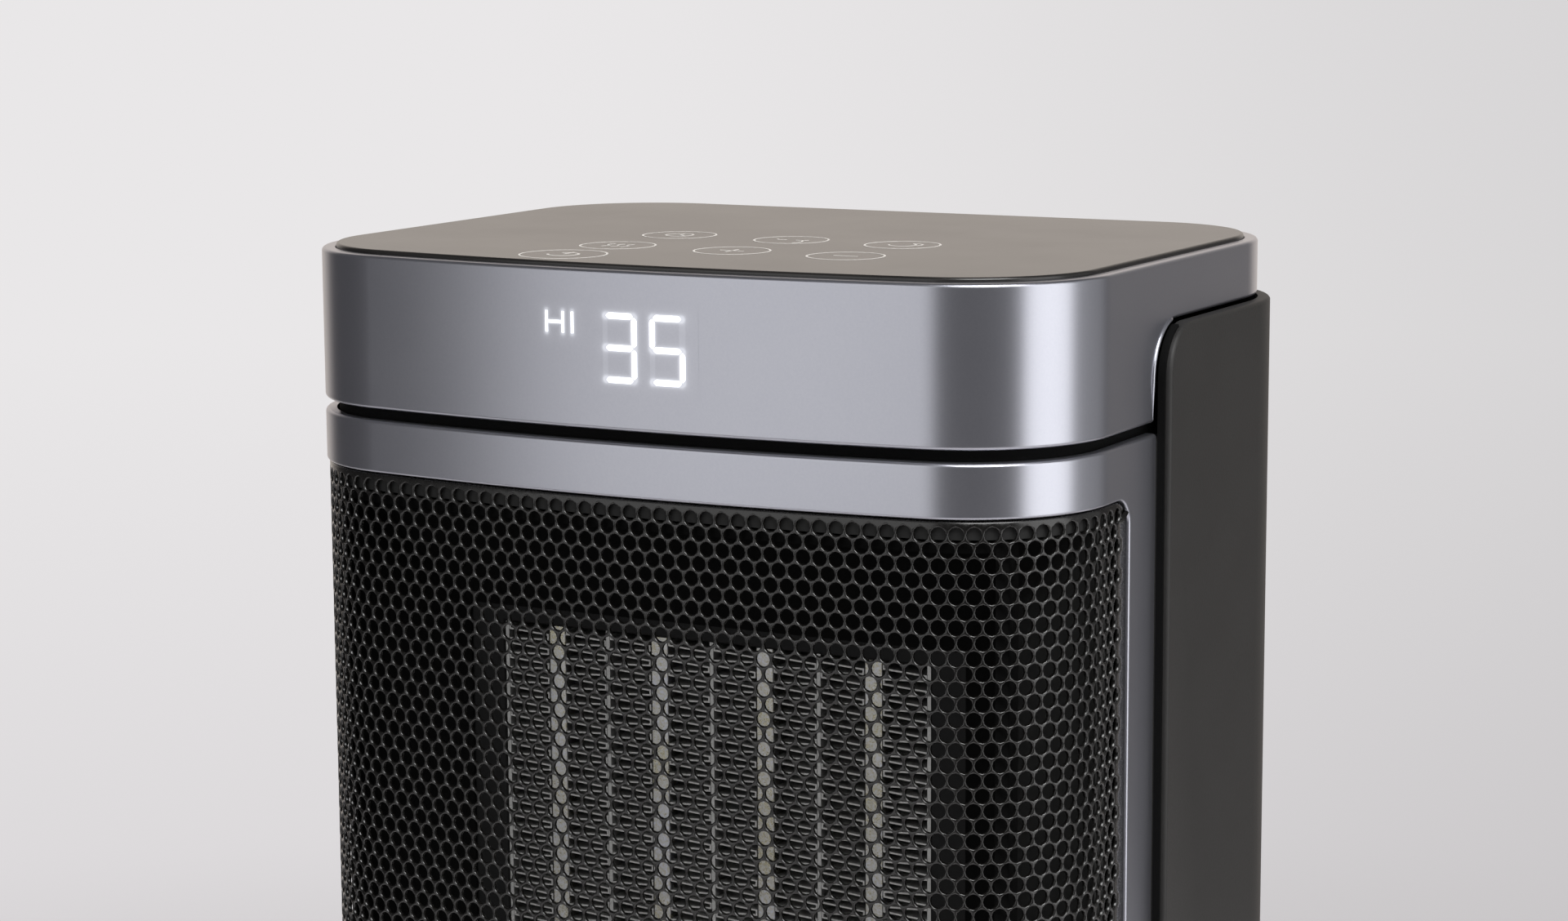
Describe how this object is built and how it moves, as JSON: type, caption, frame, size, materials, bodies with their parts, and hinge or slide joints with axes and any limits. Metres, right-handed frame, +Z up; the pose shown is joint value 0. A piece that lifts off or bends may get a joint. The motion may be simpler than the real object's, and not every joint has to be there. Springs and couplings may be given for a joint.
{
  "type": "fan heater",
  "caption": "Compact tower fan heater: round base, swinging body with a perforated wrap-round grille over a ceramic heating element, touch panel and lit display on top.",
  "frame": {"origin": "on the floor, under the swing axis, at the centre of the round base", "axes": "+Z up, the grille and display face -Y, +X to the right seen from the front"},
  "size_m": [0.18, 0.18, 0.3674],
  "materials": {
    "silver": "satin metallic paint",
    "mesh_black": "semi-gloss black paint",
    "charcoal": "fine matte grain",
    "panel_glass": "dark satin glass look",
    "black_plastic": "matte black",
    "base_grey": "fine matte grain",
    "rubber": "matte",
    "steel": "zinc plated",
    "aluminium": "bright",
    "board": "circuit board",
    "bronze": "sintered bronze",
    "gear_white": "moulded acetal",
    "display": "light diffuser",
    "net": "woven dust net"
  },
  "bodies": {
    "base": {"base_cover": "base_grey", "base_plate": "black_plastic", "base_weight": "steel", "rubber_feet": "rubber", "base_screws": "steel", "tip_switch": "black_plastic", "swing_rack": "gear_white", "rack_screws": "steel", "bearing_ring": "gear_white"},
    "fan_rotor": {"fan_wheel": "black_plastic", "fan_shaft": "steel"},
    "swing_gear": {"swing_pinion": "gear_white"},
    "intake": {"intake_grille": "charcoal", "filter_net": "net"},
    "rocker": {"rocker_paddle": "black_plastic"},
    "tip_button": {"tip_plunger": "gear_white"},
    "tower": {"bottom_tray": "black_plastic", "swivel_retainer": "steel", "retainer_screws": "steel", "swing_motor": "steel", "front_frame": "silver", "mesh_grille": "mesh_black", "outlet_duct": "black_plastic", "ptc_frame": "black_plastic", "ptc_bars": "aluminium", "ptc_separators": "aluminium", "ptc_fins": "aluminium", "thermal_cutout": "steel", "blower_housing": "black_plastic", "blower_lid": "black_plastic", "top_bearing": "bronze", "fan_motor": "steel", "motor_mounts": "rubber", "rear_cover": "charcoal", "handle_cup": "charcoal", "rocker_housing": "black_plastic", "cord_gland": "black_plastic", "cover_screws": "steel", "power_board": "board", "control_board": "board", "display_module": "display", "display_board": "board", "touch_board": "board", "touch_springs": "steel", "upper_deck": "black_plastic", "top_cap": "silver", "cap_screws": "steel", "touch_panel": "panel_glass"}
  },
  "joints": [
    {"name": "swing", "type": "hinge", "parent": "base", "child": "tower", "pos_m": [0, 0, 0.0235], "axis": [0, 0, 1], "range_deg": [-35, 35]},
    {"name": "fan_spin", "type": "hinge", "parent": "tower", "child": "fan_rotor", "pos_m": [0, 0.022, 0.19], "axis": [0, 0, 1], "continuous": true},
    {"name": "pinion_spin", "type": "hinge", "parent": "tower", "child": "swing_gear", "pos_m": [0, -0.035, 0.0155], "axis": [0, 0, 1], "range_deg": [-180, 180]},
    {"name": "intake_pull", "type": "slide", "parent": "tower", "child": "intake", "axis": [0, 1, 0], "range_m": [0, 0.03]},
    {"name": "rocker_tip", "type": "hinge", "parent": "tower", "child": "rocker", "pos_m": [-0.022, 0.0687, 0.0435], "axis": [1, 0, 0], "range_deg": [0, 14]},
    {"name": "tip_slide", "type": "slide", "parent": "base", "child": "tip_button", "axis": [0, 0, -1], "range_m": [0, 0.0032], "stiffness_N_per_m": 60, "springref_m": 0.0045}
  ],
  "couplings": [
    {"joint": "pinion_spin", "follows": "swing", "ratio": -5}
  ]
}
